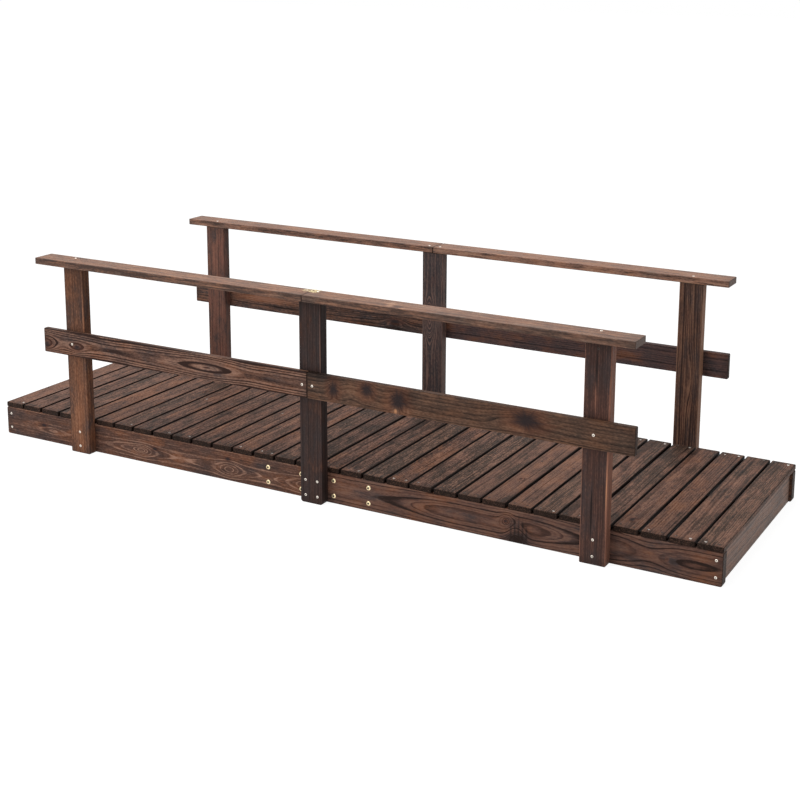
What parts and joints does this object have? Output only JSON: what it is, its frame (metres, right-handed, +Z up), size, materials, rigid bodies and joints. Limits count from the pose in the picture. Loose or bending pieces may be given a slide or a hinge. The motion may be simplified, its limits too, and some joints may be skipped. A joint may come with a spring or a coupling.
{
  "type": "garden footbridge",
  "caption": "Low straight wooden garden footbridge in two bolted halves, with a slatted deck, side beams, posts, mid rails and flat top rails.",
  "frame": {"origin": "on the ground, at the middle of the bridge's length and width", "axes": "+X along the bridge, +Y across it towards the back rail, +Z up"},
  "size_m": [2.3, 0.8, 0.597],
  "materials": {
    "deck_wood": "brushed, dark brown stain",
    "rail_wood": "brushed, dark brown stain",
    "post_wood": "brushed, dark brown stain",
    "beam_wood": "brushed, dark brown stain",
    "screw_steel": "zinc plated",
    "bolt_brass": "yellow zinc plated"
  },
  "bodies": {
    "root": {"beam_front_left": "beam_wood", "mid_rail_front_left": "rail_wood", "top_rail_front_left": "rail_wood", "beam_front_right": "beam_wood", "mid_rail_front_right": "rail_wood", "top_rail_front_right": "rail_wood", "post_front_left": "post_wood", "post_front_centre": "post_wood", "post_front_right": "post_wood", "splice_board_front": "beam_wood", "beam_back_left": "beam_wood", "mid_rail_back_left": "rail_wood", "top_rail_back_left": "rail_wood", "beam_back_right": "beam_wood", "mid_rail_back_right": "rail_wood", "top_rail_back_right": "rail_wood", "post_back_left": "post_wood", "post_back_centre": "post_wood", "post_back_right": "post_wood", "splice_board_back": "beam_wood", "end_board_left": "beam_wood", "stringer_left": "beam_wood", "end_board_right": "beam_wood", "stringer_right": "beam_wood", "stringer_splice": "beam_wood", "deck_slat_01": "deck_wood", "deck_slat_02": "deck_wood", "deck_slat_03": "deck_wood", "deck_slat_04": "deck_wood", "deck_slat_05": "deck_wood", "deck_slat_06": "deck_wood", "deck_slat_07": "deck_wood", "deck_slat_08": "deck_wood", "deck_slat_09": "deck_wood", "deck_slat_10": "deck_wood", "deck_slat_11": "deck_wood", "deck_slat_12": "deck_wood", "deck_slat_13": "deck_wood", "deck_slat_14": "deck_wood", "deck_slat_15": "deck_wood", "deck_slat_16": "deck_wood", "deck_slat_17": "deck_wood", "deck_slat_18": "deck_wood", "deck_slat_19": "deck_wood", "deck_slat_20": "deck_wood", "deck_slat_21": "deck_wood", "deck_slat_22": "deck_wood", "deck_slat_23": "deck_wood", "deck_slat_24": "deck_wood", "deck_slat_25": "deck_wood", "deck_slat_26": "deck_wood", "deck_slat_27": "deck_wood", "deck_slat_28": "deck_wood", "deck_slat_29": "deck_wood", "deck_slat_30": "deck_wood", "deck_slat_31": "deck_wood", "deck_slat_32": "deck_wood"}
  },
  "joints": []
}
